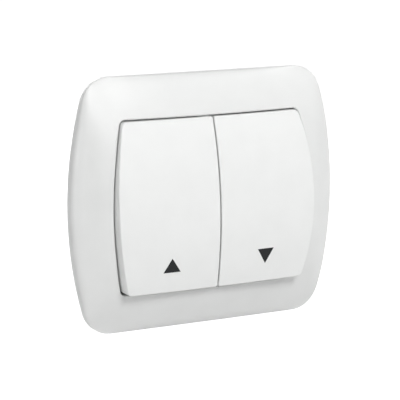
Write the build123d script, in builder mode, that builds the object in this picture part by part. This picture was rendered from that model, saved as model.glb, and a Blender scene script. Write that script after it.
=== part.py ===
"""Double push-button wall switch for a round flush box: a crowned cover frame with bowed
sides, two sprung rocking buttons and the contact mechanism behind them.

Millimetres. X is to the right, Z is up and the buttons face -Y. The wall is the plane
Y = 0, and the origin is midway between the two box screw slots on it. A depth is a
distance in front of the wall, so it is -Y. A name that ends in back, floor or front after
a piece behind the wall is a plain Y. Each half of the mechanism is made for the left
side, at its own X, and again for the right side.
"""

import os
from math import sqrt

from build123d import *

# Cover frame
frame_width = 94.5
frame_height = 82.0
frame_bow = 6.75  # how far a side stands out past its corners
frame_corner = 9.6
frame_depth = 12.0  # crown in front of the wall, at the middle
frame_rim = 3.8  # depth at which the border begins to slope up to the opening
frame_rim_round = 3.2
frame_rim_wall = 0.8  # the hollow's slope starts this far behind the rim
border_peak = 9.85  # depth at which the slope would reach the opening
frame_wall = 1.8
crown_fall_end = 8.5  # from its middle to the frame's upper and lower end
crown_fall_side = 3.93  # from its middle to the frame's sides

# Opening for the buttons
border_side = 11.75  # face of the frame beside the opening, at its middle
border_top = 13.15
border_bottom = 12.95
opening_bow = 3.75
opening_corner = 1.6
skirt_wall = 1.5
skirt_gap = 0.3  # between the skirt round the opening and the plate

# Buttons
button_depth = 13.6  # highest line of the crown in front of the wall
button_crown_drop = 5.9  # that line lies this far below the origin, which tilts the face
button_crown_across = 620.0
button_wall = 1.6
button_edge = 0.4
side_gap = 0.45
top_gap = 0.5
bottom_gap = 0.8  # the lower edge swings towards the frame as it goes in
seam_gap = 0.5
skirt_depth_top = 3.0
skirt_depth_bottom = 4.6
seam_skirt_top = 5.4  # back edge of the skirt at the seam, above the cheeks
seam_skirt_middle = 8.8  # past the bearing cheeks
seam_skirt_bottom = 7.2  # below the cheeks, where it swings in
seat_gap = 0.05  # between pieces that seat on each other
button_clip_width = 8.0
button_clip_nose = 0.7
button_rib = 1.2

# Mounting plate
plate_thickness = 1.2
plate_side_inset = 9.45  # from the frame's outline to the plate, at the middle
plate_end_inset = 6.0
plate_corner = 8.0
slot_length = 7.6
slot_width = 4.2
slot_side_margin = 4.0  # steel left beside each slot, which puts the screws 60 apart
slot_end_margin = 1.2
window_width_margin = 2.0  # from the base's outline to the window
window_screw_margin = 2.3  # from the window to the middle of each cover screw
lug_width = 9.0
lug_depth = 4.9
lug_end_inset = 17.0  # from the plate's end to the middle of each lug
bend_radius = 0.6  # inside each bent lug
bend_relief = 0.8  # notch in the plate at each side of a lug
catch_width = 6.0
catch_height = 1.8
catch_depth = 2.4  # depth of the catch window's back edge
clip_thickness = 1.5
clip_nose = 0.9
clip_gap = 0.15

# Pivots and levers
pivot_depth = 6.0
pivot_radius = 1.5
pivot_clearance = 0.05
cheek_thickness = 1.6
cheek_depth = 8.0
cheek_foot = 5.0  # half height of a cheek where it stands on the cover
cheek_head = 3.2  # half height at its free end
snap_width = 2.5  # mouth of the bearing, narrower than the pivot
cheek_middle_gap = 0.85  # from the middle of the switch to the nearest cheek
lever_gap = 0.4  # between a lever and its cheeks
table_depth = 9.4
table_thickness = 1.4
table_half_height = 9.5
hub_radius = 2.4
lever_web = 1.3
nose_width = 4.4
nose_below_spring = 0.4  # its tip meets the arm this far below the spring
nose_tip = 0.8
nose_shoulder = 0.8  # its upper edge turns this far in front of the cover
nose_shoulder_rise = 2.3

# Mechanism cover
cover_overlap = 1.5  # past each side of the base
cover_screw_border = 3.2  # from each cover screw's middle to the cover's end
cover_thickness = 2.0
cover_corner = 3.0
cover_edge = 0.4
cover_rim = 1.6
fit_clearance = 0.2
aperture_width = 5.6
aperture_above = 3.2  # above the middle of the nose's tip
aperture_below = 2.5

# Mechanism base
base_width = 43.0
base_height = 39.0
base_depth = 21.0
base_corner = 5.0
base_edge = 0.8
base_wall = 1.6
base_floor = 1.6
middle_wall = 1.8
post_radius = 2.7
rib_thickness = 1.2

# Cover screws
cover_screw_radius = 1.4
cover_screw_inset = 3.2  # from the end of the base
cover_screw_head = 2.7
head_taper = 6.0  # degrees, of every screw's head
cover_screw_head_height = 1.7
cover_screw_length = 12.0
driver_slot = 0.9
thread_clearance = 0.05

# Contact arms and strips
brass_thickness = 0.8
arm_width = 6.0
arm_front = 3.0  # front face of the arm behind the wall plane
arm_bead = 0.7
arm_ear = 5.5  # half length of the bead
arm_pivot_inset = 5.5  # from the outer face of the terminals
arm_tail = 2.0  # below the middle of its contact
contact_inset = 5.5  # from the outer face of the terminals
contact_radius = 1.6
contact_thickness = 0.75
contact_dome = 0.35
contact_gap = 1.2
bead_clearance = 0.05
finger_width = 2.0
finger_half_height = 1.7
common_link_above = 0.7  # above the arms' pivots
common_link_below = 2.5

# Terminals
terminal_size = 6.5
terminal_edge_cut = 0.5
terminal_length = 9.0
terminal_play = 0.4  # between each terminal and the wall of the base
wire_radius = 1.6
wire_funnel = 0.6
terminal_screw_radius = 1.5
terminal_head_radius = 2.8
terminal_head_height = 1.7
screw_pocket = 3.2
terminal_gap = 0.1

# Return springs
spring_wire = 0.5
spring_radius = 2.0
spring_turns = 5.5
spring_floor = 14.0
spring_well = 2.6
spring_well_wall = 0.9
spring_well_mouth = 9.0
spring_peg = 1.3
spring_peg_length = 1.0

# Sizes that follow from the ones above
crown_up = ((frame_height / 2) ** 2 + crown_fall_end**2) / (2 * crown_fall_end)
crown_across = ((frame_width / 2) ** 2 + crown_fall_side**2) / (2 * crown_fall_side)
opening_width = frame_width - 2 * border_side - 2 * opening_bow  # at its corners
opening_top = frame_height / 2 - border_top
opening_bottom = -frame_height / 2 + border_bottom
opening_height = opening_top - opening_bottom
plate_width = frame_width - 2 * plate_side_inset
plate_height = frame_height - 2 * plate_end_inset
slot_place_side = plate_width / 2 - slot_side_margin - slot_length / 2
slot_place_end = plate_height / 2 - slot_end_margin - slot_length / 2
lug_place = plate_height / 2 - lug_end_inset
cover_screw_place = base_height / 2 - cover_screw_inset
window_width = base_width - 2 * window_width_margin
window_height = 2 * (cover_screw_place - window_screw_margin)
cover_width = base_width + 2 * cover_overlap
cover_height = 2 * (cover_screw_place + cover_screw_border)
cover_depth = plate_thickness + cover_thickness
lever_place = base_width / 4  # distance of each lever from the middle
lever_half_width = lever_place - cheek_middle_gap - cheek_thickness - lever_gap
terminal_edge = base_height / 2 - base_wall - terminal_play
terminal_middle = terminal_edge - terminal_size / 2
terminal_inner = terminal_edge - terminal_size
contact_height = -(terminal_edge - contact_inset)
arm_bottom = contact_height - arm_tail
arm_pivot_height = terminal_edge - arm_pivot_inset
common_link_top = arm_pivot_height + common_link_above
common_link_bottom = arm_pivot_height - common_link_below
common_strip_half = lever_place + terminal_size / 2
spring_height = -(terminal_inner - spring_well - spring_well_wall - terminal_gap)
nose_height = nose_below_spring - spring_height  # its tip lies this far below the pivot
nose_shoulder_height = nose_height - nose_shoulder_rise
nose_reach = arm_front - seat_gap
arm_back = arm_front + brass_thickness
bead_centre = arm_back + seat_gap
common_front = bead_centre + arm_bead + bead_clearance
common_back = common_front + brass_thickness
output_contact_front = arm_back + contact_thickness + contact_gap
output_front = output_contact_front + contact_thickness
output_back = output_front + brass_thickness
base_inside = base_depth - base_floor
sides = {"left": -1, "right": 1}

os.makedirs("parts", exist_ok=True)


def finish(piece, name):
    """Label a finished piece and write it under that name."""
    piece.label = name
    export_step(piece, f"parts/{name}.step")


def bowed_outline(width, top, bottom, bow, corner, inset=0.0, depth=0.0):
    """Outline with level ends and sides bowed outwards by circle arcs, at a depth.

    Width is measured at the ends. An inset moves every edge and arc inwards by that much.
    """
    middle = (top + bottom) / 2
    half = width / 2
    with BuildSketch(Plane.XZ.offset(depth)) as outline:
        with BuildLine():
            ThreePointArc((half, bottom), (half + bow, middle), (half, top))
            Line((half, top), (-half, top))
            ThreePointArc((-half, top), (-half - bow, middle), (-half, bottom))
            Line((-half, bottom), (half, bottom))
        make_face()
        fillet(outline.vertices(), corner)
        if inset:
            offset(amount=-inset, kind=Kind.ARC, mode=Mode.REPLACE)
    return outline.sketch


def crown(depth, across, drop=0.0):
    """Barrel whose front is a surface crowned both ways, to be intersected with a body.

    The level section is an arc of radius across, turned about a level axis so that the
    upright section is an arc of radius crown_up. The highest line lies drop below the
    origin.
    """
    reach = 0.6 * frame_width
    axis_y = crown_up - depth
    middle = axis_y + crown_up
    edge = middle - across + sqrt(across**2 - reach**2)
    with BuildPart() as barrel:
        with BuildSketch(Plane.XY.offset(-drop)):
            with BuildLine():
                ThreePointArc((-reach, edge), (0, middle), (reach, edge))
                Polyline((reach, edge), (reach, axis_y), (-reach, axis_y), (-reach, edge))
            make_face()
        revolve(axis=Axis((0, axis_y, -drop), (1, 0, 0)))
    return barrel.part


def frame_outline(inset=0.0, depth=0.0):
    """Outline of the frame, or with an inset that of its hollow, at a depth."""
    return bowed_outline(
        frame_width - 2 * frame_bow,
        frame_height / 2,
        -frame_height / 2,
        frame_bow,
        frame_corner,
        inset,
        depth,
    )


def frame_body(inset, rim):
    """Level rim, a border that slopes up from it to the opening, and the crowned face.

    An inset of one wall gives the hollow behind the same faces, with its own rim.
    """
    with BuildPart() as body:
        extrude(frame_outline(inset), amount=rim)
        loft([frame_outline(inset, rim), opening_outline(0.0, border_peak - inset)])
        if not inset:
            level = body.edges().filter_by_position(Axis.Y, -rim - 0.01, -rim + 0.01)
            fillet(level, frame_rim_round)
        add(crown(frame_depth - inset, crown_across), mode=Mode.INTERSECT)
    return body.part


def opening_outline(inset=0.0, depth=0.0):
    """Outline of the opening, or with a negative inset that of the skirt round it."""
    return bowed_outline(
        opening_width,
        opening_top,
        opening_bottom,
        opening_bow,
        opening_corner,
        inset,
        depth,
    )


def make_cover_frame():
    """Shell with a skirt round the opening and four snap legs at its sides."""
    outer = frame_body(0.0, frame_rim)
    inside = frame_body(frame_wall, frame_rim - frame_rim_wall)
    leg_inside = plate_width / 2 + clip_gap
    leg_outside = leg_inside + clip_thickness
    leg_end = plate_thickness + clip_gap
    nose_back = catch_depth + clip_gap
    nose_front = catch_depth + catch_height - clip_gap
    nose_tip_x = leg_inside - clip_nose
    with BuildPart() as legs:
        for side in (-1, 1):
            for level in (-lug_place, lug_place):
                with BuildSketch(Plane.XY.offset(level)):
                    with BuildLine():
                        Polyline(
                            (side * leg_outside, -frame_depth),
                            (side * leg_outside, -leg_end),
                            (side * leg_inside, -leg_end),
                            (side * leg_inside, -nose_back),
                            (side * nose_tip_x, -(nose_back + nose_front) / 2),
                            (side * nose_tip_x, -nose_front),
                            (side * leg_inside, -nose_front),
                            (side * leg_inside, -frame_depth),
                            close=True,
                        )
                    make_face()
                extrude(amount=catch_width / 2 - clip_gap, both=True)
        add(inside, mode=Mode.INTERSECT)
    with BuildPart() as hollow:
        add(inside)
        skirt = opening_outline(-skirt_wall, plate_thickness + skirt_gap)
        extrude(skirt, amount=frame_depth, mode=Mode.SUBTRACT)
    with BuildPart() as frame:
        add(outer)
        add(hollow.part, mode=Mode.SUBTRACT)
        extrude(opening_outline(), amount=frame_depth, mode=Mode.SUBTRACT)
        add(legs.part)
    return frame.part


def button_body(side, inset):
    """Solid inside the faces of one cap, or with an inset the hollow inside its walls."""
    outline = bowed_outline(
        opening_width - 2 * side_gap,
        opening_top - top_gap,
        opening_bottom + bottom_gap,
        opening_bow,
        opening_corner,
        inset,
    )
    seam = seam_gap / 2 + inset
    with BuildPart() as body:
        with BuildSketch(Plane.XZ):
            add(outline)
            with Locations((side * (seam + frame_width / 2), 0)):
                Rectangle(frame_width, frame_height, mode=Mode.INTERSECT)
        extrude(amount=button_depth)
        barrel = crown(button_depth - inset, button_crown_across, button_crown_drop)
        add(barrel, mode=Mode.INTERSECT)
        if not inset:
            fillet(body.faces().sort_by(Axis.Y)[0].edges(), button_edge)
    return body.part


def button_fittings(side):
    """Two clips that grip the ends of the lever's table, and ribs that rest on it."""
    clip_inside = table_half_height + 2 * seat_gap
    clip_outside = clip_inside + clip_thickness
    catch = table_depth - table_thickness - seat_gap
    place = side * lever_place
    with BuildPart() as fittings:
        for end in (-1, 1):
            with BuildSketch(Plane.YZ.offset(place)):
                with BuildLine():
                    Polyline(
                        (-button_depth, end * clip_inside),
                        (-catch, end * clip_inside),
                        (-catch, end * (clip_inside - button_clip_nose)),
                        (-catch + 0.4, end * (clip_inside - button_clip_nose)),
                        (-catch + 1.3, end * clip_inside),
                        (-catch + 1.3, end * clip_outside),
                        (-button_depth, end * clip_outside),
                        close=True,
                    )
                make_face()
            extrude(amount=button_clip_width / 2, both=True)
        with BuildSketch(Plane.XZ.offset(table_depth + seat_gap)):
            with Locations((place, 0)):
                Rectangle(2 * lever_half_width, 2 * table_half_height)
                Rectangle(
                    2 * (lever_half_width - button_rib),
                    2 * (table_half_height - button_rib),
                    mode=Mode.SUBTRACT,
                )
        extrude(amount=button_depth - table_depth)
        add(button_body(side, button_wall), mode=Mode.INTERSECT)
    return fittings.part


def make_button(side):
    """Convex cap with a slanted back edge, a short skirt at the seam and its fittings."""
    outer = button_body(side, 0.0)
    inside = button_body(side, button_wall)
    fittings = button_fittings(side)
    reach = opening_height
    slope = (skirt_depth_bottom - skirt_depth_top) / opening_height
    seam_top = opening_top - top_gap - button_wall
    seam_bottom = opening_bottom + bottom_gap + button_wall
    with BuildPart() as button:
        add(outer)
        add(inside, mode=Mode.SUBTRACT)
        # The back edge slants, so the skirt stays clear of the plate when pressed.
        with BuildSketch(Plane.YZ):
            with BuildLine():
                Polyline(
                    (1, reach),
                    (-skirt_depth_top + slope * (reach - opening_top), reach),
                    (-skirt_depth_bottom - slope * (reach + opening_bottom), -reach),
                    (1, -reach),
                    close=True,
                )
            make_face()
        extrude(amount=frame_width, both=True, mode=Mode.SUBTRACT)
        # The skirt at the seam steps back for the bearing cheeks and the cover screws.
        with BuildSketch(Plane.YZ.offset(side * seam_gap / 2)):
            with BuildLine():
                Polyline(
                    (0, seam_top),
                    (-seam_skirt_top, seam_top),
                    (-seam_skirt_top, cheek_foot + 1),
                    (-seam_skirt_middle, cheek_foot + 1),
                    (-seam_skirt_middle, -cheek_foot - 1),
                    (-seam_skirt_bottom, -cheek_foot - 1),
                    (-seam_skirt_bottom, seam_bottom),
                    (0, seam_bottom),
                    close=True,
                )
            make_face()
        extrude(amount=button_wall, both=True, mode=Mode.SUBTRACT)
        add(fittings)
    return button.part


def make_mounting_plate():
    """Pressed steel plate with a window, box screw slots and four bent catch lugs."""
    lug_outside = plate_width / 2
    lug_inside = lug_outside - plate_thickness
    bend_start = lug_inside - bend_radius
    bend_end = plate_thickness + bend_radius
    outer_bend = bend_end * sqrt(0.5)
    inner_bend = bend_radius * sqrt(0.5)
    with BuildPart() as plate:
        with BuildSketch(Plane.XZ):
            Rectangle(plate_width, plate_height)
            chamfer(vertices(), plate_corner)
            Rectangle(window_width, window_height, mode=Mode.SUBTRACT)
            with Locations((-slot_place_side, 0), (slot_place_side, 0)):
                SlotOverall(slot_length, slot_width, mode=Mode.SUBTRACT)
            with Locations((0, -slot_place_end), (0, slot_place_end)):
                SlotOverall(slot_length, slot_width, rotation=90, mode=Mode.SUBTRACT)
            with Locations((0, -cover_screw_place), (0, cover_screw_place)):
                Circle(cover_screw_radius + fit_clearance, mode=Mode.SUBTRACT)
            notch = lug_width + 2 * bend_relief
            for side in (-1, 1):
                for level in (-lug_place, lug_place):
                    with Locations((side * (bend_start + lug_outside) / 2, level)):
                        Rectangle(lug_outside - bend_start, notch, mode=Mode.SUBTRACT)
        extrude(amount=plate_thickness)
        for side in (-1, 1):
            for level in (-lug_place, lug_place):
                # The lug turns forwards out of the plate round its bend.
                with BuildSketch(Plane.XY.offset(level)):
                    with BuildLine():
                        Line((side * (bend_start - 1), 0), (side * bend_start, 0))
                        ThreePointArc(
                            (side * bend_start, 0),
                            (side * (bend_start + outer_bend), outer_bend - bend_end),
                            (side * lug_outside, -bend_end),
                        )
                        Polyline(
                            (side * lug_outside, -bend_end),
                            (side * lug_outside, -lug_depth),
                            (side * lug_inside, -lug_depth),
                            (side * lug_inside, -bend_end),
                        )
                        ThreePointArc(
                            (side * lug_inside, -bend_end),
                            (side * (bend_start + inner_bend), inner_bend - bend_end),
                            (side * bend_start, -plate_thickness),
                        )
                        Polyline(
                            (side * bend_start, -plate_thickness),
                            (side * (bend_start - 1), -plate_thickness),
                            (side * (bend_start - 1), 0),
                        )
                    make_face()
                extrude(amount=lug_width / 2, both=True)
                with BuildSketch(Plane.YZ.offset(side * lug_inside)):
                    with Locations((-catch_depth - catch_height / 2, level)):
                        Rectangle(catch_height, catch_width)
                extrude(amount=plate_thickness, both=True, mode=Mode.SUBTRACT)
    return plate.part


def make_mechanism_cover():
    """Moulded front: bearing cheeks, nose apertures and fingers for the contact arms."""
    inner_cheek = lever_half_width + lever_gap
    cheek_middle = inner_cheek + cheek_thickness / 2
    finger_place = arm_ear - finger_width / 2 - seat_gap
    finger_end = common_front - seat_gap
    with BuildPart() as cover:
        with BuildSketch(Plane.XZ.offset(plate_thickness)):
            RectangleRounded(cover_width, cover_height, cover_corner)
        extrude(amount=cover_thickness)
        fillet(cover.faces().sort_by(Axis.Y)[0].edges(), cover_edge)
        with BuildSketch(Plane.XZ):
            Rectangle(window_width - 2 * fit_clearance, window_height - 2 * fit_clearance)
            Rectangle(
                window_width - 2 * fit_clearance - 2 * cover_rim,
                window_height - 2 * fit_clearance - 2 * cover_rim,
                mode=Mode.SUBTRACT,
            )
        extrude(amount=plate_thickness)
        for side in (-1, 1):
            place = side * lever_place
            for end in (-1, 1):
                with BuildSketch(Plane.YZ.offset(place + end * cheek_middle)):
                    with BuildLine():
                        Polyline(
                            (-plate_thickness - 1, -cheek_foot),
                            (-cover_depth, -cheek_foot),
                            (-cheek_depth, -cheek_head),
                            (-cheek_depth, cheek_head),
                            (-cover_depth, cheek_foot),
                            (-plate_thickness - 1, cheek_foot),
                            close=True,
                        )
                    make_face()
                    with Locations((-pivot_depth, 0)):
                        Circle(pivot_radius + pivot_clearance, mode=Mode.SUBTRACT)
                    with Locations((-pivot_depth - pivot_radius, 0)):
                        Rectangle(2 * pivot_radius, snap_width, mode=Mode.SUBTRACT)
                extrude(amount=cheek_thickness / 2, both=True)
                with BuildSketch(Plane.YZ.offset(place + end * finger_place)):
                    with Locations(((finger_end - plate_thickness) / 2, arm_pivot_height)):
                        Rectangle(finger_end + plate_thickness, 2 * finger_half_height)
                    with Locations((bead_centre, arm_pivot_height)):
                        Circle(arm_bead + bead_clearance, mode=Mode.SUBTRACT)
                    with Locations((finger_end, arm_pivot_height)):
                        Rectangle(
                            2 * (finger_end - bead_centre),
                            2 * (arm_bead + bead_clearance),
                            mode=Mode.SUBTRACT,
                        )
                extrude(amount=finger_width / 2, both=True)
            with BuildSketch(Plane.XZ):
                with Locations((place, -nose_height + (aperture_above - aperture_below) / 2)):
                    Rectangle(aperture_width, aperture_above + aperture_below)
            extrude(amount=cover_depth, mode=Mode.SUBTRACT)
        with BuildSketch(Plane.XZ):
            with Locations((0, -cover_screw_place), (0, cover_screw_place)):
                Circle(cover_screw_radius + fit_clearance)
        extrude(amount=cover_depth, mode=Mode.SUBTRACT)
    return cover.part


def make_mechanism_base():
    """Open housing with two contact chambers, terminal pockets and spring wells."""
    pocket = terminal_size + 2 * terminal_gap
    with BuildPart() as base:
        with BuildSketch(Plane.XZ) as outside:
            Rectangle(base_width, base_height)
            chamfer(outside.vertices(), base_corner)
        extrude(amount=-base_depth)
        fillet(base.edges().filter_by(Axis.Y), base_edge)
        fillet(base.faces().sort_by(Axis.Y)[-1].edges(), base_edge)
        with BuildSketch(Plane.XZ):
            add(outside.sketch)
            offset(amount=-base_wall, kind=Kind.INTERSECTION, mode=Mode.REPLACE)
            Rectangle(middle_wall, base_height, mode=Mode.SUBTRACT)
            with Locations((0, -cover_screw_place), (0, cover_screw_place)):
                Circle(post_radius, mode=Mode.SUBTRACT)
        extrude(amount=-base_inside, mode=Mode.SUBTRACT)
        for side in (-1, 1):
            place = side * lever_place
            for end, front in ((1, common_back), (-1, output_back)):
                block_back = front + terminal_length
                level = end * (terminal_inner + base_height / 2 - base_wall) / 2
                height = base_height / 2 - base_wall - terminal_inner
                # A pad behind each terminal and a rib at each side of it hold it.
                with BuildSketch(Plane.XZ.offset(-block_back)):
                    with Locations((place, level)):
                        Rectangle(pocket, height)
                extrude(amount=-(base_inside - block_back))
                with BuildSketch(Plane.XZ.offset(-front)):
                    rib = (pocket + rib_thickness) / 2
                    with Locations((place - rib, level), (place + rib, level)):
                        Rectangle(rib_thickness, height)
                extrude(amount=-(base_inside - front))
                with BuildSketch(Plane.XZ.offset(-block_back)):
                    with Locations((place, end * terminal_middle)):
                        Circle(wire_radius)
                extrude(amount=-(base_depth - block_back), mode=Mode.SUBTRACT)
                # Each wire hole opens in a funnel at the back.
                with BuildSketch(Plane.XZ.offset(-base_depth)):
                    with Locations((place, end * terminal_middle)):
                        Circle(wire_radius + wire_funnel)
                extrude(amount=wire_funnel, taper=45, mode=Mode.SUBTRACT)
                with BuildSketch(Plane.XY.offset(end * base_height / 2)):
                    with Locations((place, front + terminal_length / 2)):
                        Circle(screw_pocket)
                extrude(amount=-end * base_wall, mode=Mode.SUBTRACT)
            with BuildSketch(Plane.XZ.offset(-spring_well_mouth)):
                with Locations((place, spring_height)):
                    Circle(spring_well + spring_well_wall)
            extrude(amount=-(base_inside - spring_well_mouth))
            with BuildSketch(Plane.XZ.offset(-spring_well_mouth)):
                with Locations((place, spring_height)):
                    Circle(spring_well)
            extrude(amount=-(spring_floor - spring_well_mouth), mode=Mode.SUBTRACT)
        # The common strip crosses the middle wall in a notch.
        with BuildSketch(Plane.XZ):
            with Locations((0, (common_link_top + common_link_bottom) / 2)):
                link_height = common_link_top - common_link_bottom + 2 * seat_gap
                Rectangle(middle_wall, link_height)
        extrude(amount=-common_back, mode=Mode.SUBTRACT)
        with BuildSketch(Plane.XZ):
            with Locations((0, -cover_screw_place), (0, cover_screw_place)):
                Circle(cover_screw_radius + thread_clearance)
        extrude(amount=-cover_screw_length, mode=Mode.SUBTRACT)
    return base.part


def make_lever(side):
    """Rocking lever: pivots, table for the cap, and the nose that works the contact."""
    place = side * lever_place
    table_back = table_depth - table_thickness
    pivot_half = lever_half_width + lever_gap + cheek_thickness - seat_gap
    with BuildPart() as lever:
        with BuildSketch(Plane.YZ.offset(place)):
            with Locations((-pivot_depth, 0)):
                Circle(pivot_radius)
        extrude(amount=pivot_half, both=True)
        with BuildSketch(Plane.YZ.offset(place)):
            with Locations((-pivot_depth, 0)):
                Circle(hub_radius)
            with Locations((-table_depth + table_thickness / 2, 0)):
                Rectangle(table_thickness, 2 * table_half_height)
        extrude(amount=lever_half_width, both=True)
        for end in (-1, 1):
            with BuildSketch(Plane.YZ.offset(place + end * (lever_half_width - lever_web / 2))):
                with BuildLine():
                    Polyline(
                        (-table_back, -table_half_height + 1),
                        (-table_back, table_half_height - 1),
                        (-pivot_depth + 1, hub_radius / 2),
                        (-pivot_depth + 1, -hub_radius / 2),
                        close=True,
                    )
                make_face()
            extrude(amount=lever_web / 2, both=True)
        with BuildSketch(Plane.YZ.offset(place)):
            with BuildLine():
                Polyline(
                    (-table_back, -nose_height),
                    (-cover_depth, -nose_height - 1.5),
                    (nose_reach - 1.5, -nose_height - 1.2),
                    (nose_reach, -nose_height - nose_tip),
                    (nose_reach, -nose_height + nose_tip),
                    (nose_reach - 1.5, -nose_height + 1.2),
                    (-cover_depth - nose_shoulder, -nose_shoulder_height),
                    (-pivot_depth, 0),
                    (-table_back, 0),
                    close=True,
                )
            make_face()
        extrude(amount=nose_width / 2, both=True)
    return lever.part


def make_contact_arm(side):
    """Brass arm that rocks on its bead, with a peg that centres the return spring."""
    place = side * lever_place
    with BuildPart() as arm:
        with BuildSketch(Plane.XZ.offset(-arm_front)):
            with Locations((place, (arm_pivot_height + arm_bottom) / 2)):
                Rectangle(arm_width, arm_pivot_height - arm_bottom)
        extrude(amount=-brass_thickness)
        chamfer(arm.edges().filter_by(Axis.Y).group_by(Axis.Z)[0], arm_width / 5)
        with BuildSketch(Plane.YZ.offset(place)):
            with Locations((bead_centre, arm_pivot_height)):
                Circle(arm_bead)
        extrude(amount=arm_ear, both=True)
        with BuildSketch(Plane.XZ.offset(-arm_back)):
            with Locations((place, spring_height)):
                Circle(spring_peg)
        extrude(amount=-spring_peg_length)
    return arm.part


def make_contact_tip(side, front, face):
    """Silver contact disc. Face is 1 or -1, the way along Y that its domed face looks."""
    with BuildPart() as tip:
        with BuildSketch(Plane.XZ.offset(-front)):
            with Locations((side * lever_place, contact_height)):
                Circle(contact_radius)
        extrude(amount=-contact_thickness)
        outwards = Axis((0, 0, 0), (0, face, 0))
        fillet(tip.faces().sort_by(outwards)[-1].edges(), contact_dome)
    return tip.part


def make_output_strip(side):
    """Brass strip that carries the fixed contact and ends under its terminal."""
    place = side * lever_place
    top = contact_height + contact_radius + 0.5
    bottom = -terminal_edge
    with BuildPart() as strip:
        with BuildSketch(Plane.XZ.offset(-output_front)):
            with Locations((place, (top + bottom) / 2)):
                Rectangle(terminal_size, top - bottom)
        extrude(amount=-brass_thickness)
    return strip.part


def make_common_strip():
    """Brass strip that joins both common terminals and carries both arms' beads."""
    with BuildPart() as strip:
        with BuildSketch(Plane.XZ.offset(-common_front)):
            with Locations((0, (common_link_top + common_link_bottom) / 2)):
                Rectangle(2 * common_strip_half, common_link_top - common_link_bottom)
            for side in (-1, 1):
                with Locations(
                    (side * lever_place, (terminal_edge + common_link_bottom) / 2)
                ):
                    Rectangle(terminal_size, terminal_edge - common_link_bottom)
        extrude(amount=-brass_thickness)
    return strip.part


def make_terminal(side, end, front):
    """Brass block with a wire hole from behind and a threaded hole from its outer face."""
    place = side * lever_place
    with BuildPart() as block:
        with BuildSketch(Plane.XZ.offset(-front)):
            with Locations((place, end * terminal_middle)):
                Rectangle(terminal_size, terminal_size)
        extrude(amount=-terminal_length)
        chamfer(block.edges().filter_by(Axis.Y), terminal_edge_cut)
        with BuildSketch(Plane.XZ.offset(-front)):
            with Locations((place, end * terminal_middle)):
                Circle(wire_radius)
        extrude(amount=-terminal_length, mode=Mode.SUBTRACT)
        with BuildSketch(Plane.XY.offset(end * terminal_edge)):
            with Locations((place, front + terminal_length / 2)):
                Circle(terminal_screw_radius + thread_clearance)
        extrude(amount=-end * terminal_size / 2, mode=Mode.SUBTRACT)
    return block.part


def make_terminal_screws():
    """Four slotted clamp screws, backed off so that their heads lie in the base's wall."""
    shank = terminal_size / 2 - wire_radius + terminal_gap
    with BuildPart() as screws:
        for side in (-1, 1):
            for end, front in ((1, common_back), (-1, output_back)):
                middle = front + terminal_length / 2
                head = end * (terminal_edge + terminal_gap)
                outer = head + end * terminal_head_height
                with BuildSketch(Plane.XY.offset(head)):
                    with Locations((side * lever_place, middle)):
                        Circle(terminal_screw_radius)
                extrude(amount=-end * shank)
                with BuildSketch(Plane.XY.offset(head)):
                    with Locations((side * lever_place, middle)):
                        Circle(terminal_head_radius)
                extrude(amount=end * terminal_head_height, taper=head_taper)
                with BuildSketch(Plane.XY.offset(outer)):
                    with Locations((side * lever_place, middle)):
                        Rectangle(2 * terminal_head_radius, driver_slot)
                extrude(amount=-end * terminal_head_height / 2, mode=Mode.SUBTRACT)
    return screws.part


def make_cover_screws():
    """Two slotted screws that clamp cover, plate and base together."""
    with BuildPart() as screws:
        for level in (-cover_screw_place, cover_screw_place):
            with BuildSketch(Plane.XZ.offset(cover_depth)):
                with Locations((0, level)):
                    Circle(cover_screw_head)
            extrude(amount=cover_screw_head_height, taper=head_taper)
            with BuildSketch(Plane.XZ.offset(cover_depth)):
                with Locations((0, level)):
                    Circle(cover_screw_radius)
            extrude(amount=-cover_screw_length)
            with BuildSketch(Plane.XZ.offset(cover_depth + cover_screw_head_height)):
                with Locations((0, level)):
                    Rectangle(2 * cover_screw_head, driver_slot)
            extrude(amount=-cover_screw_head_height / 2, mode=Mode.SUBTRACT)
    return screws.part


def make_return_spring(side):
    """Open helical spring between the contact arm and the floor of its well."""
    start = arm_back + spring_wire / 2 + seat_gap
    length = spring_floor - spring_wire / 2 - seat_gap - start
    centre = (side * lever_place, start, spring_height)
    with BuildPart() as spring:
        with BuildLine() as wire:
            Helix(
                pitch=length / spring_turns,
                height=length,
                radius=spring_radius,
                center=centre,
                direction=(0, 1, 0),
            )
        with BuildSketch(Plane(origin=wire.line @ 0, z_dir=wire.line % 0)):
            Circle(spring_wire / 2)
        sweep(path=wire.line, is_frenet=True)
    return spring.part


finish(make_cover_frame(), "cover_frame")
finish(make_mounting_plate(), "mounting_plate")
finish(make_mechanism_cover(), "mechanism_cover")
finish(make_mechanism_base(), "mechanism_base")
finish(make_cover_screws(), "cover_screws")
finish(make_common_strip(), "common_strip")
finish(make_terminal_screws(), "terminal_screws")
for side_name, side in sides.items():
    finish(make_button(side), f"{side_name}_button")
    finish(make_lever(side), f"{side_name}_lever")
    finish(make_return_spring(side), f"{side_name}_return_spring")
    finish(make_contact_arm(side), f"{side_name}_contact_arm")
    finish(make_contact_tip(side, arm_back, 1), f"{side_name}_moving_contact")
    finish(
        make_contact_tip(side, output_contact_front, -1), f"{side_name}_fixed_contact"
    )
    finish(make_output_strip(side), f"{side_name}_output_strip")
    finish(make_terminal(side, 1, common_back), f"{side_name}_common_terminal")
    finish(make_terminal(side, -1, output_back), f"{side_name}_output_terminal")
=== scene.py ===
"""Dresses the double push-button switch for its looks, on the model's own frame.

X is to the right, Z is up and the buttons face -Y. Shapes are worked out in millimetres
and turned to metres once. A depth is a distance in front of the wall plane Y = 0. A loop
is a closed outline of points in four equal quarters: right, top, left and bottom. Each
quarter starts and ends in the middle of a corner, so two loops match point for point.
"""

from math import cos, radians, sin, sqrt

import bmesh
import bpy
import numpy as np
from mathutils import Matrix, Vector


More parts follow.
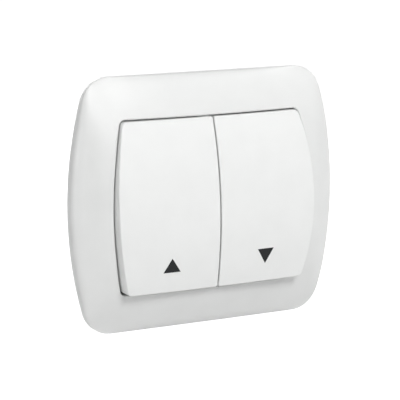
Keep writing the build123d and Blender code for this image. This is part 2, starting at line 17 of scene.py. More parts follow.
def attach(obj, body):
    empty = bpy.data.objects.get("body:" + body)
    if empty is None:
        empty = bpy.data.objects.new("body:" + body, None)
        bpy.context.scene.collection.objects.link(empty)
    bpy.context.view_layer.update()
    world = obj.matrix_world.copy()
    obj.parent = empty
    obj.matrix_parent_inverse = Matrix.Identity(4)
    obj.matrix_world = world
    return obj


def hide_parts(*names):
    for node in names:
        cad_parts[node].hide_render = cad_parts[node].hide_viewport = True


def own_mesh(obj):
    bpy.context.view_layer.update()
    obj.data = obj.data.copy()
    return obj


MILLIMETRE = 0.001  # in metres
WELD_DISTANCE = 2e-8  # in metres
TINY = 1e-9  # far smaller than any step, against rounding

# Cover frame
FRAME_WIDTH, FRAME_HEIGHT = 94.5, 82.0
FRAME_BOW, FRAME_CORNER = 6.75, 9.6
FRAME_DEPTH, FRAME_WALL = 12.0, 1.8
FRAME_RIM = 3.8  # depth at which the border begins to slope up to the opening
ROOF_AT_RIM = 0.45  # share of the wall by which the hollow's roof lies behind the rim
RIM_DOWN, RIM_IN = 2.3, 3.0  # the rounded rim reaches this far down the side and in
BORDER_PEAK = 9.85  # depth at which the sloping border would reach the opening
BORDER_SWEEP = 0.35  # how far the border's profile is an S instead of a straight slope
CREASE_WIDTH = 1.6  # the crease between border and crown is softened over this depth
CROWN_UP, CROWN_ACROSS = 103.13, 286.05  # radii
OPENING_HALF, OPENING_BOW = 31.75, 3.75
OPENING_CORNER = 2.3  # as in the photograph, a little rounder than in the solid
OPENING_TOP, OPENING_BOTTOM = 27.85, -28.05
OPENING_EDGE = 0.45  # radius of the opening's edge
SKIRT_WALL, SKIRT_END = 1.5, 1.5

# Snap legs of the frame, each beside a lug of the plate
LUG_OUTSIDE, LUG_LEVEL = 37.8, 18.0
LEG_GAP, LEG_THICKNESS, LEG_WIDTH = 0.15, 1.5, 5.7
LEG_END = 1.35  # depth of the free end
LEG_NOSE = 0.9  # the nose stands out this far
NOSE_BACK, NOSE_TIP, NOSE_FRONT = 2.55, 3.3, 4.05  # depths of its slope and its catch
LEG_ROOT_OUTSIDE, LEG_ROOT_INSIDE = 5.5, 6.1  # depths inside the frame's wall

# Button caps
BUTTON_DEPTH, BUTTON_DROP, BUTTON_ACROSS = 13.6, 5.9, 620.0
BUTTON_WALL, BUTTON_EDGE, SEAM_HALF = 1.6, 0.4, 0.25
SIDE_GAP, TOP_GAP, BOTTOM_GAP = 0.45, 0.5, 0.8
OUTER_CORNER, SEAM_CORNER, INSIDE_CORNER = 1.6, 0.75, 0.35
STRAIGHT = 0.002  # bow of a side that counts as straight
BACK_TOP, BACK_BOTTOM = 3.0, 4.6  # depth of the back edge at the opening's ends
SEAM_BACK_TOP, SEAM_BACK_MIDDLE, SEAM_BACK_BOTTOM = 5.4, 8.8, 7.2  # the same at the seam
CHEEK_REACH = 6.0  # half the height over which the seam's back edge passes the cheeks
SEAM_MARGIN = 0.05

# Printed triangles: three corners each, across and up, and the film in depth
UP = ((-17.05, -16.03), (-19.98, -20.62), (-13.98, -20.62))
DOWN = ((16.68, -21.1), (19.62, -16.1), (13.7, -16.1))
FILM_FRONT, FILM_BACK, FILM_STEPS = 0.02, 0.05, 14

# Fittings of a cap on its lever's table
TABLE_DEPTH, TABLE_THICKNESS = 9.4, 1.4
TABLE_HALF_WIDTH, TABLE_HALF_HEIGHT = 7.9, 9.5
LEVER_PLACE = 10.75  # distance of a lever's middle from the switch's middle
CLIP_WIDTH, CLIP_THICKNESS, CLIP_NOSE = 8.0, 1.5, 0.7
CLIP_LIP, CLIP_END = 0.4, 1.3  # the nose's flat and the clip's end, behind the catch
RIB_THICKNESS, SEAT_GAP = 1.2, 0.05
ROOF_BITE = 0.5  # ribs and clips end this far inside the cap's wall

# Return springs: places lie behind the wall plane
SPRING_WIRE, SPRING_RADIUS, SPRING_TURNS = 0.5, 2.0, 5.5
SPRING_START, SPRING_LENGTH, SPRING_FLOOR = 4.1, 9.6, 14.0
SPRING_HEIGHT = -7.4

# Segments: in half a corner, along a side, along a coil and round its wire
CORNER_STEPS, SIDE_STEPS = 8, 64
COIL_STEPS, WIRE_STEPS = 220, 12

# Camera, fitted to the photograph: angles in degrees, places in metres
CAMERA_TURN, CAMERA_RISE, CAMERA_DISTANCE = -27.73, 10.84, 0.5928
CAMERA_TARGET = (-0.00057, 0.0, -0.0009)
FOCAL_PIXELS, PICTURE_PIXELS, SENSOR_WIDTH = 1836.7, 400, 36.0

# Studio, in metres and watts: the world in front and behind, the floor and the lamps
WORLD_FRONT, WORLD_BACK, WORLD_BLEND = 0.43, 0.0, 0.25
FLOOR_REACH, FLOOR_LEVEL, FLOOR_GLOW = 4.0, -0.16, 0.92
LAMPS = (  # name, place, width and power
    ("key_above", (0.0, -0.9, 0.65), 0.3, 5.1),
    ("right_above", (0.8, -0.4, 0.7), 0.4, 2.9),
    ("left_low", (-1.05, -0.35, 0.1), 0.4, 2.1),
    ("behind", (0.0, 1.2, 0.2), 0.6, 6.0),
)


def outline(left, right, bottom, top, left_bow, right_bow, corners):
    """Points of a loop and their outward normals, in x and z.

    The upper and lower ends are level. A bowed side is a circle arc through its two end
    points and a middle point that stands out by the bow. A corner is an arc that touches
    both its neighbours: its centre is one radius below the end, on the circle that is one
    radius inside the side's arc. Corners are the radii on the left and on the right.
    """
    middle, half = (top + bottom) / 2, (top - bottom) / 2
    spread = np.linspace(0.0, 1.0, CORNER_STEPS + 1)
    along = np.linspace(0.0, 1.0, SIDE_STEPS + 1)
    sides = []
    ends = ((1, right, right_bow, corners[1]), (-1, left, left_bow, corners[0]))
    for way, end_x, bow, corner in ends:
        radius = (half**2 + bow**2) / (2 * bow)
        centre_x = end_x + way * (bow - radius)
        corner_x = centre_x + way * sqrt((radius - corner) ** 2 - (half - corner) ** 2)
        turn = np.arcsin((half - corner) / (radius - corner))
        sides.append((radius, centre_x, corner_x, corner, turn))
    right_radius, right_centre, right_x, right_round, right_turn = sides[0]
    left_radius, left_centre, left_x, left_round, left_turn = sides[1]
    points, normals = [], []

    def arc(centre, radius, start, end, steps):
        angles = start + (end - start) * steps[:-1]
        normal = np.stack([np.cos(angles), np.sin(angles)], 1)
        points.append(np.array(centre) + radius * normal)
        normals.append(normal)

    def level(x_start, x_end, z, up):
        x = x_start + (x_end - x_start) * along[:-1]
        points.append(np.stack([x, np.full_like(x, z)], 1))
        normals.append(np.stack([np.zeros_like(x), np.full_like(x, up)], 1))

    quarter = np.pi / 2
    low_right, high_right = (right_x, bottom + right_round), (right_x, top - right_round)
    low_left, high_left = (left_x, bottom + left_round), (left_x, top - left_round)
    right_middle, left_middle = (quarter + right_turn) / 2, (quarter + left_turn) / 2
    arc(low_right, right_round, -right_middle, -right_turn, spread)
    arc((right_centre, middle), right_radius, -right_turn, right_turn, along)
    arc(high_right, right_round, right_turn, right_middle, spread)
    arc(high_right, right_round, right_middle, quarter, spread)
    level(right_x, left_x, top, 1.0)
    arc(high_left, left_round, quarter, 2 * quarter - left_middle, spread)
    arc(high_left, left_round, 2 * quarter - left_middle, 2 * quarter - left_turn, spread)
    arc((left_centre, middle), left_radius, 2 * quarter - left_turn, 2 * quarter + left_turn, along)
    arc(low_left, left_round, 2 * quarter + left_turn, 2 * quarter + left_middle, spread)
    arc(low_left, left_round, 2 * quarter + left_middle, 3 * quarter, spread)
    level(left_x, right_x, bottom, -1.0)
    arc(low_right, right_round, 3 * quarter, 4 * quarter - right_middle, spread)
    return np.concatenate(points), np.concatenate(normals)


def crown(x, z, depth, across, drop=0.0):
    """Depth of a face crowned both ways.

    The upright section is a circle arc. Its radius shrinks away from the middle by the
    fall of the level arc, as on a barrel, and its highest line lies drop below z = 0.
    """
    radius = CROWN_UP - (across - np.sqrt(across**2 - x**2))
    return np.sqrt(radius**2 - (z + drop) ** 2) - (CROWN_UP - depth)


def soft_min(a, b, width):
    """Lower of two depths, with a parabola of that width in place of the crease."""
    share = np.clip(0.5 + 0.5 * (b - a) / width, 0.0, 1.0)
    return b + (a - b) * share - width * share * (1 - share)


def ring(xz, depth):
    """Loop in x and z, with its depth, as points in space."""
    return np.stack([xz[:, 0], -np.broadcast_to(depth, len(xz)), xz[:, 1]], 1)


def square_cap(rim, depth_of):
    """Grid of points inside a loop, which is its border, with its depth from a function.

    The loop's quarters are the sides of a square. A point of the square lies on a smaller
    copy of the loop, shrunk towards its middle by its distance from the square's centre.
    """
    quarter = len(rim) // 4
    step = np.linspace(-1.0, 1.0, quarter + 1)
    across, up = np.meshgrid(step, step, indexing="ij")
    share = np.maximum(np.abs(across), np.abs(up))
    safe = np.where(share > 0, share, 1.0)
    edge_x, edge_z = across / safe, up / safe
    place = np.select(
        [(edge_x >= 1 - TINY), (edge_z >= 1 - TINY), (edge_x <= -1 + TINY)],
        [(edge_z + 1) / 2, 1 + (1 - edge_x) / 2, 2 + (1 - edge_z) / 2],
        3 + (edge_x + 1) / 2,
    ) * quarter
    whole = np.floor(place + TINY).astype(int)
    rest = (place - whole)[..., None]
    on_rim = rim[whole % len(rim)] * (1 - rest) + rim[(whole + 1) % len(rim)] * rest
    centre = (rim.max(0) + rim.min(0)) / 2
    xz = centre + (on_rim - centre) * share[..., None]
    flat = xz.reshape(-1, 2)
    return ring(flat, depth_of(flat[:, 0], flat[:, 1]))


def grid_quads(rows, columns, start, wrap_columns, wrap_rows):
    """Quads between the neighbours of a grid that is numbered row by row.

    The numbers begin at the start. A grid that wraps is closed from its end to its start.
    """
    row = np.arange(rows if wrap_rows else rows - 1)[:, None]
    column = np.arange(columns if wrap_columns else columns - 1)[None, :]
    next_row, next_column = (row + 1) % rows, (column + 1) % columns
    corners = [
        row * columns + column,
        row * columns + next_column,
        next_row * columns + next_column,
        next_row * columns + column,
    ]
    return start + np.stack(np.broadcast_arrays(*corners), -1).reshape(-1, 4)


def mesh_object(name, points, faces, smooth=True, weld=True):
    """Object at the origin from an array of points in millimetres, its faces turned outwards.

    Welding merges the points that lie in one place.
    """
    mesh = bpy.data.meshes.new(name)
    mesh.from_pydata((points * MILLIMETRE).tolist(), [], list(map(list, faces)))
    work = bmesh.new()
    work.from_mesh(mesh)
    if weld:
        bmesh.ops.remove_doubles(work, verts=work.verts, dist=WELD_DISTANCE)
    bmesh.ops.recalc_face_normals(work, faces=work.faces)
    work.to_mesh(mesh)
    work.free()
    mesh.polygons.foreach_set("use_smooth", np.full(len(mesh.polygons), smooth))
    piece = bpy.data.objects.new(name, mesh)
    bpy.context.scene.collection.objects.link(piece)
    return piece


def bowed_loop(half_width, bottom, top, bow, corner):
    """Loop that is the same on the left and on the right."""
    return outline(-half_width, half_width, bottom, top, bow, bow, (corner, corner))


FRAME_OUTLINE = bowed_loop(
    FRAME_WIDTH / 2 - FRAME_BOW, -FRAME_HEIGHT / 2, FRAME_HEIGHT / 2, FRAME_BOW, FRAME_CORNER
)
OPENING_OUTLINE = bowed_loop(OPENING_HALF, OPENING_BOTTOM, OPENING_TOP, OPENING_BOW, OPENING_CORNER)


def inset(loop, distance):
    """A loop's points moved inwards along their normals."""
    return loop[0] - loop[1] * distance


def border_depth(share, inside=0.0):
    """Depth of the frame's sloping border, by the share of the way to the opening.

    It rises from the rim to the peak, a little slower at both ends than in the middle.
    """
    peak, rim = BORDER_PEAK - inside, FRAME_RIM - inside * ROOF_AT_RIM
    eased = share + BORDER_SWEEP * (share * share * (3 - 2 * share) - share)
    return rim + (peak - rim) * eased


def face_depth(xz, share, inside=0.0):
    """Depth of the frame's face, or of its hollow's roof a wall thickness behind it.

    It is the lower one of the sloping border and the crown, with the crease softened.
    """
    face = crown(xz[:, 0], xz[:, 1], FRAME_DEPTH - inside, CROWN_ACROSS)
    return soft_min(face, border_depth(share, inside), CREASE_WIDTH)


def make_frame_shell():
    """The cover frame as one closed band.

    Its rings go from the wall up the outer side, round the rim, up the border to the
    opening, round the opening's edge, down the skirt and back inside to the wall. A ring
    of the border lies part of the way from the outline to the opening. The rounded rim is
    a parabola from the side to the border, and its control point is the corner in which
    the two would meet.
    """
    rings = []
    outer = FRAME_OUTLINE[0]
    opening = OPENING_OUTLINE[0]
    span = np.linalg.norm(opening - outer, axis=1)

    def part_way(share):
        return outer + (opening - outer) * share[:, None]

    for depth in (0.0, 0.2, 0.7, 1.2):
        rings.append(ring(outer, depth))
    reach = RIM_IN / span
    start = np.full(len(outer), FRAME_RIM - RIM_DOWN)
    end_xz = part_way(reach)
    end = face_depth(end_xz, reach)
    further = 0.02  # share of the reach over which the border's slope is measured
    beyond = reach * (1 + further)
    corner = end - (face_depth(part_way(beyond), beyond) - end) / further
    for t in np.linspace(0.0, 1.0, 10):
        xz = outer * (1 - t) ** 2 + outer * 2 * t * (1 - t) + end_xz * t**2
        rings.append(ring(xz, start * (1 - t) ** 2 + corner * 2 * t * (1 - t) + end * t**2))
    lip = OPENING_EDGE / span
    for share in np.linspace(0.0, 1.0, 40)[1:]:
        way = reach + (1 - lip - reach) * share
        xz = part_way(way)
        rings.append(ring(xz, face_depth(xz, way)))
    last, top = rings[-1][:, [0, 2]], -rings[-1][:, 1]
    for turn in np.linspace(0.0, np.pi / 2, 7)[1:]:
        xz = last + (opening - last) * sin(turn)
        rings.append(ring(xz, top - OPENING_EDGE * (1 - cos(turn))))
    for share in (0.06, 0.3, 0.7, 0.94, 1.0):
        rings.append(ring(opening, (top - OPENING_EDGE) * (1 - share) + SKIRT_END * share))
    skirt = inset(OPENING_OUTLINE, -SKIRT_WALL)
    hollow = inset(FRAME_OUTLINE, FRAME_WALL)
    near = 1 - SKIRT_WALL / np.linalg.norm(opening - hollow, axis=1)
    roof = face_depth(skirt, near, FRAME_WALL)
    for share in (0.0, 0.06, 0.5, 0.94, 1.0):
        rings.append(ring(skirt, SKIRT_END * (1 - share) + roof * share))
    for share in np.linspace(0.0, 1.0, 16)[1:]:
        way = near * (1 - share)
        xz = skirt + (hollow - skirt) * share
        rings.append(ring(xz, face_depth(xz, way, FRAME_WALL)))
    for depth in (1.2, 0.2, 0.0):
        rings.append(ring(hollow, depth))
    quads = grid_quads(len(rings), len(outer), 0, True, True)
    return mesh_object("frame_shell", np.concatenate(rings), quads)


def button_outline(side, inside=0.0, corner=None):
    """Loop of one cap: a bowed outer side, level ends and a straight side at the seam."""
    outer = OPENING_HALF - SIDE_GAP - inside
    seam = SEAM_HALF + inside
    top, bottom = OPENING_TOP - TOP_GAP - inside, OPENING_BOTTOM + BOTTOM_GAP + inside
    outer_round = OUTER_CORNER if corner is None else corner
    seam_round = SEAM_CORNER if corner is None else corner
    if side > 0:
        return outline(seam, outer, bottom, top, STRAIGHT, OPENING_BOW, (seam_round, outer_round))
    return outline(-outer, -seam, bottom, top, OPENING_BOW, STRAIGHT, (outer_round, seam_round))


def back_edge(side, xz):
    """Depth of a cap's back edge: a slant, but stepped back along the seam."""
    level = xz[:, 1]
    slope = (BACK_BOTTOM - BACK_TOP) / (OPENING_TOP - OPENING_BOTTOM)
    slant = BACK_TOP + slope * (OPENING_TOP - level)
    near_seam = side * xz[:, 0] < SEAM_HALF + BUTTON_WALL + SEAM_MARGIN
    below_top = level < OPENING_TOP - TOP_GAP - BUTTON_WALL
    above_bottom = level > OPENING_BOTTOM + BOTTOM_GAP + BUTTON_WALL
    steps = [level > CHEEK_REACH, level > -CHEEK_REACH]
    stepped = np.select(steps, [SEAM_BACK_TOP, SEAM_BACK_MIDDLE], SEAM_BACK_BOTTOM)
    return np.where(near_seam & below_top & above_bottom, stepped, slant)


def make_button_cap(side, name):
    """One cap as a closed shell.

    Two square grids, the face and the hollow's roof, are joined by rings: down from the
    roof along the inner wall, across the back edge, up the outer wall and round the front
    edge, whose quarter arc ends in the face's border.
    """
    outer = button_outline(side)
    inner = button_outline(side, BUTTON_WALL, INSIDE_CORNER)

    def face(x, z):
        return crown(x, z, BUTTON_DEPTH, BUTTON_ACROSS, BUTTON_DROP)

    def roof(x, z):
        return crown(x, z, BUTTON_DEPTH - BUTTON_WALL, BUTTON_ACROSS, BUTTON_DROP)

    points, faces = [], []

    def cap_quads(start):
        quarter = len(outer[0]) // 4 + 1
        return grid_quads(quarter, quarter, start, False, False)

    border = inset(outer, BUTTON_EDGE)
    points.append(square_cap(border, face))
    faces.append(cap_quads(0))
    start = len(points[0])
    points.append(square_cap(inner[0], roof))
    faces.append(cap_quads(start))
    start += len(points[1])
    roof_rim = roof(inner[0][:, 0], inner[0][:, 1])
    back = back_edge(side, outer[0])
    back_inner = back_edge(side, inner[0])
    rings = [ring(inner[0], roof_rim)]
    for share in (0.06, 0.5, 0.94, 1.0):
        rings.append(ring(inner[0], roof_rim * (1 - share) + back_inner * share))
    rim = face(border[:, 0], border[:, 1])
    for share in (0.0, 0.04, 0.35, 0.7, 1.0):
        rings.append(ring(outer[0], back * (1 - share) + (rim - BUTTON_EDGE) * share))
    for turn in np.linspace(0.0, np.pi / 2, 9)[1:]:
        xz = inset(outer, BUTTON_EDGE * (1 - cos(turn)))
        rings.append(ring(xz, rim - BUTTON_EDGE * (1 - sin(turn))))
    points.extend(rings)
    faces.append(grid_quads(len(rings), len(outer[0]), start, True, False))
    return mesh_object(name, np.concatenate(points), np.concatenate(faces))


def make_print(name, corners):
    """Printed triangle as a closed film that follows the cap's face.

    Its points are every whole-number mixture of the three corners, laid a little inside
    and a little in front of the face.
    """
    steps = FILM_STEPS
    first, second = np.meshgrid(np.arange(steps + 1), np.arange(steps + 1), indexing="ij")
    kept = first + second <= steps
    index = np.full(first.shape, -1)
    index[kept] = np.arange(kept.sum())
    shares = np.stack([first[kept], second[kept], steps - first[kept] - second[kept]], 1) / steps
    xz = shares @ np.array(corners)
    face = crown(xz[:, 0], xz[:, 1], BUTTON_DEPTH, BUTTON_ACROSS, BUTTON_DROP)
    points = np.concatenate([ring(xz, face + FILM_FRONT), ring(xz, face - FILM_BACK)])
    count = int(kept.sum())
    whole = [(i, j) for i in range(steps) for j in range(steps - i)]
    between = [(i, j) for i in range(steps) for j in range(steps - i - 1)]
    front = [(index[i, j], index[i + 1, j], index[i, j + 1]) for i, j in whole]
    front += [(index[i + 1, j], index[i + 1, j + 1], index[i, j + 1]) for i, j in between]
    rim = [index[i, 0] for i in range(steps)]
    rim += [index[steps - i, i] for i in range(steps)]
    rim += [index[0, steps - i] for i in range(steps)]
    back = [tuple(corner + count for corner in reversed(face)) for face in front]
    sides = [(a, b, b + count, a + count) for a, b in zip(rim, rim[1:] + rim[:1])]
    faces = [tuple(map(int, face)) for face in front + back + sides]
    return mesh_object(name, points, faces, smooth=False)


def prisms(name, profiles):
    """Straight bars from profiles of (axis, profile, start, end), each swept along x or z."""
    points, faces, start = [], [], 0
    for axis, profile, low, high in profiles:
        profile = np.array(profile, float)
        count = len(profile)
        for level in (low, high):
            if axis == "z":  # the profile gives x and depth
                points.append(np.stack([profile[:, 0], -profile[:, 1], np.full(count, level)], 1))
            else:  # the profile gives depth and z
                points.append(np.stack([np.full(count, level), -profile[:, 0], profile[:, 1]], 1))
        for i in range(count):
            after = (i + 1) % count
            faces.append([start + i, start + after, start + count + after, start + count + i])
        faces.append([start + i for i in reversed(range(count))])
        faces.append([start + count + i for i in range(count)])
        start += 2 * count
    return mesh_object(name, np.concatenate(points), faces, smooth=False, weld=False)


def make_snap_legs():
    """Four legs of the frame, each a bar along z whose profile has the snap nose."""
    inside = LUG_OUTSIDE + LEG_GAP
    outside, nose = inside + LEG_THICKNESS, inside - LEG_NOSE
    profile = (
        (outside, LEG_ROOT_OUTSIDE),
        (outside, LEG_END),
        (inside, LEG_END),
        (inside, NOSE_BACK),
        (nose, NOSE_TIP),
        (nose, NOSE_FRONT),
        (inside, NOSE_FRONT),
        (inside, LEG_ROOT_INSIDE),
    )
    legs = []
    for side in (-1, 1):
        for level in (-LUG_LEVEL, LUG_LEVEL):
            half = LEG_WIDTH / 2
            legs.append(("z", [(side * x, depth) for x, depth in profile], level - half, level + half))
    return prisms("frame_snap_legs", legs)


def make_cap_fittings(side, name):
    """Inside one cap: two clips for the lever's table and the frame of ribs that rests on it.

    Each is a bar along x. Its profile, in depth and height, ends a little inside the cap's
    wall and follows the crown of the roof there.
    """
    place = side * LEVER_PLACE
    seat = TABLE_DEPTH + SEAT_GAP
    catch = TABLE_DEPTH - TABLE_THICKNESS - SEAT_GAP
    clip_inside = TABLE_HALF_HEIGHT + 2 * SEAT_GAP
    clip_outside = clip_inside + CLIP_THICKNESS
    rib_inside = TABLE_HALF_HEIGHT - RIB_THICKNESS

    def roof(level):
        face = crown(place, level, BUTTON_DEPTH - BUTTON_WALL, BUTTON_ACROSS, BUTTON_DROP)
        return float(face) + ROOF_BITE

    bars = []

    def bar(profile, middle, half_width):
        bars.append(("x", profile, middle - half_width, middle + half_width))

    for end in (-1, 1):
        clip = [
            (roof(end * clip_inside), clip_inside),
            (catch, clip_inside),
            (catch, clip_inside - CLIP_NOSE),
            (catch - CLIP_LIP, clip_inside - CLIP_NOSE),
            (catch - CLIP_END, clip_inside),
            (catch - CLIP_END, clip_outside),
            (roof(end * clip_outside), clip_outside),
        ]
        bar([(depth, end * z) for depth, z in clip], place, CLIP_WIDTH / 2)
        low, high = end * rib_inside, end * TABLE_HALF_HEIGHT
        rib = [(seat, low), (seat, high), (roof(high), high), (roof(low), low)]
        bar(rib, place, TABLE_HALF_WIDTH)
        levels = np.linspace(rib_inside, -rib_inside, 9).tolist()
        long_rib = [(seat, -rib_inside), (seat, rib_inside), *((roof(z), z) for z in levels)]
        bar(long_rib, place + end * (TABLE_HALF_WIDTH - RIB_THICKNESS / 2), RIB_THICKNESS / 2)
    return prisms(name, bars)


def make_return_spring(side, name):
    """Open coil spring from the contact arm back to the floor of its well.

    A round wire is carried along a helix: its middle turns at a fixed radius and goes back
    by the same amount with every degree. The wire's circle is square to the path, and each
    end is closed by a flat face.
    """
    way = np.linspace(0.0, 1.0, COIL_STEPS + 1)
    turn = np.pi / 2 - 2 * np.pi * SPRING_TURNS * way
    outwards = np.stack([np.cos(turn), np.zeros_like(turn), np.sin(turn)], 1)
    rate = -2 * np.pi * SPRING_TURNS * SPRING_RADIUS
    back = np.full_like(turn, SPRING_LENGTH)
    along = np.stack([-rate * np.sin(turn), back, rate * np.cos(turn)], 1)
    across = np.cross(along / np.linalg.norm(along, axis=1)[:, None], outwards)
    middle = np.array([side * LEVER_PLACE, SPRING_START, SPRING_HEIGHT]) + outwards * SPRING_RADIUS
    middle[:, 1] += SPRING_LENGTH * way
    angle = (np.arange(WIRE_STEPS) * 2 * np.pi / WIRE_STEPS)[None, :, None]
    circle = np.cos(angle) * outwards[:, None] + np.sin(angle) * across[:, None]
    points = (middle[:, None] + circle * SPRING_WIRE / 2).reshape(-1, 3)
    faces = grid_quads(len(way), WIRE_STEPS, 0, True, False).tolist()
    faces.append(list(range(WIRE_STEPS)))
    faces.append(list(range(len(points) - WIRE_STEPS, len(points))))
    return mesh_object(name, points, faces)


def to_linear(text):
    """Linear colour of an sRGB hex value."""
    values = np.array([int(text[i : i + 2], 16) for i in (0, 2, 4)]) / 255
    linear = np.where(values <= 0.04045, values / 12.92, ((values + 0.055) / 1.055) ** 2.4)
    return (*linear.tolist(), 1.0)


def add(tree, kind, settings=None, **links):
    """Add a node. Settings go to its properties or its inputs, links join other sockets."""
    node = tree.nodes.new(kind)
    for key, value in (settings or {}).items():
        if isinstance(key, str) and hasattr(node, key) and key not in node.inputs:
            setattr(node, key, value)
        else:
            node.inputs[key].default_value = value
    for key, source in links.items():
        tree.links.new(source, node.inputs[key.replace("_", " ")])
    return node


def start_material(name, colour, roughness, metallic=0.0):
    """Material with one Principled shader, its tree, its shader and Object coordinates."""
    material = bpy.data.materials.new(name)
    material.use_nodes = True
    tree = material.node_tree
    shader = next(n for n in tree.nodes if n.type == "BSDF_PRINCIPLED")
    shader.inputs["Base Color"].default_value = to_linear(colour)
    shader.inputs["Roughness"].default_value = roughness
    shader.inputs["Metallic"].default_value = metallic
    place = add(tree, "ShaderNodeTexCoord").outputs["Object"]
    return material, tree, shader, place


def noise_of(tree, place, size_mm, detail):
    """Noise with patches of that size, fixed to the piece."""
    settings = {"Scale": 1000 / size_mm, "Detail": detail}
    return add(tree, "ShaderNodeTexNoise", settings, Vector=place)


def uneven(tree, shader, place, size_mm, low, high, detail=3.0):
    """Roughness that wanders between two values over patches of that size."""
    noise = noise_of(tree, place, size_mm, detail)
    limits = {"From Min": 0.3, "From Max": 0.7, "To Min": low, "To Max": high}
    spread = add(tree, "ShaderNodeMapRange", limits, Value=noise.outputs["Fac"])
    tree.links.new(spread.outputs["Result"], shader.inputs["Roughness"])
    return noise


def tinted(tree, shader, noise, colour_a, colour_b):
    """Colour between two close tints, by a noise."""
    ramp = add(tree, "ShaderNodeValToRGB", Fac=noise.outputs["Fac"])
    stops = ((0.35, colour_a), (0.65, colour_b))
    for element, (position, colour) in zip(ramp.color_ramp.elements, stops):
        element.position = position
        element.color = to_linear(colour)
    tree.links.new(ramp.outputs["Color"], shader.inputs["Base Color"])


def grained(tree, shader, place, size_mm, height_mm):
    """Fine relief of that grain size and height, as a bump."""
    noise = noise_of(tree, place, size_mm, 2.0)
    settings = {"Strength": 1.0, "Distance": height_mm * MILLIMETRE}
    bump = add(tree, "ShaderNodeBump", settings, Height=noise.outputs["Fac"])
    tree.links.new(bump.outputs["Normal"], shader.inputs["Normal"])


def moulded_plastic(name, colour_a, colour_b, roughness, grain_mm=0.35, height_mm=0.004, sheen=0.5):
    """Injection moulded plastic: a satin skin with the faint grain of its eroded mould."""
    material, tree, shader, place = start_material(name, colour_a, roughness)
    shader.inputs["IOR"].default_value = 1.5
    shader.inputs["Specular IOR Level"].default_value = sheen
    patches = uneven(tree, shader, place, 9.0, roughness - 0.04, roughness + 0.05)
    tinted(tree, shader, patches, colour_a, colour_b)
    grained(tree, shader, place, grain_mm, height_mm)
    return material


def plated_metal(name, colour_a, colour_b, roughness, grain_mm, height_mm, patch_mm=4.0):
    """Metal with a thin plated or rolled skin: colour and gloss wander in small patches."""
    material, tree, shader, place = start_material(name, colour_a, roughness, metallic=1.0)
    patches = uneven(tree, shader, place, patch_mm, roughness - 0.07, roughness + 0.08, detail=5.0)
    tinted(tree, shader, patches, colour_a, colour_b)
    grained(tree, shader, place, grain_mm, height_mm)
    return material


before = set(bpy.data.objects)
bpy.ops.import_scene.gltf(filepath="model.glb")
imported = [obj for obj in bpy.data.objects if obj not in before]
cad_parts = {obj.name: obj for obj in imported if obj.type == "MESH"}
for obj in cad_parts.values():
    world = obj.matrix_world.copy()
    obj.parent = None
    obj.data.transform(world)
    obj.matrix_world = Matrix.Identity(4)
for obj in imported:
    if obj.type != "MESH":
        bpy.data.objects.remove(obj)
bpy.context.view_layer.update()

# White ASA with a satin mould finish: an even pale skin whose sheen is broad and soft. Frame and caps
# are the one plastic, but the frame's white is painted a little darker, as painted shade, and the
# caps' a little lighter, as painted light.
frame_plastic = moulded_plastic("frame_white_asa", "ECEDEC", "EAEBEA", 0.38)
button_plastic = moulded_plastic("button_white_asa", "F3F4F3", "F1F2F1", 0.34)
# Pad printing ink: a thin matt film with slightly uneven cover.
print_ink = moulded_plastic("print_grey_ink", "1D1E1F", "222324", 0.55, 0.2, 0.003, sheen=0.2)
# Glass-filled polyamide of the mechanism's front: dull, with fibres just under the skin.
cover_plastic = moulded_plastic("cover_grey_polyamide", "C6C7C3", "BDBEBA", 0.5, 0.25, 0.012)
# Acetal of the levers: waxy and a little glossier.
lever_plastic = moulded_plastic("lever_natural_acetal", "DCDBD3", "D5D4CC", 0.32, 0.5, 0.004)
# Urea moulding of the housing: light grey, matt, with faint flow marks.
housing_plastic = moulded_plastic("housing_grey_urea", "C0C1BD", "B5B6B2", 0.48, 0.4, 0.01)
# Metals: zinc plating on the steel pieces, bare spring wire, rolled brass and fine silver.
plate_metal = plated_metal("plate_zinc_plated_steel", "C4C8C9", "B4B9BC", 0.36, 0.6, 0.006)
screw_metal = plated_metal("screw_zinc_plated_steel", "CDD0D0", "BABEC0", 0.3, 0.3, 0.004, 2.0)
spring_metal = plated_metal("spring_steel_wire", "9A9C9E", "88898B", 0.3, 0.3, 0.004, 2.0)
brass_metal = plated_metal("contact_rolled_brass", "CDA85A", "BF984A", 0.32, 0.5, 0.005, 3.0)
silver_metal = plated_metal("contact_fine_silver", "DEDCD6", "CFCDC6", 0.28, 0.25, 0.003, 1.5)

FINISHES = {
    "mounting_plate": plate_metal,
    "mechanism_cover": cover_plastic,
    "mechanism_base": housing_plastic,
    "cover_screws": screw_metal,
    "terminal_screws": screw_metal,
    "common_strip": brass_metal,
    "lever": lever_plastic,
    "return_spring": spring_metal,
    "contact_arm": brass_metal,
    "moving_contact": silver_metal,
    "fixed_contact": silver_metal,
    "output_strip": brass_metal,
    "common_terminal": brass_metal,
    "output_terminal": brass_metal,
}
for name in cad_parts:
    kind = name.removeprefix("left_").removeprefix("right_")
    if kind in FINISHES:
        materials = bpy.data.objects[name].data.materials
        materials.clear()
        materials.append(FINISHES[kind])


def dress(piece, material, body, slot, *nodes):
    """Give a new piece its finish, its body and the model's nodes that it stands for."""
    piece.data.materials.append(material)
    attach(piece, body)
    if nodes:
        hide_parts(*nodes)


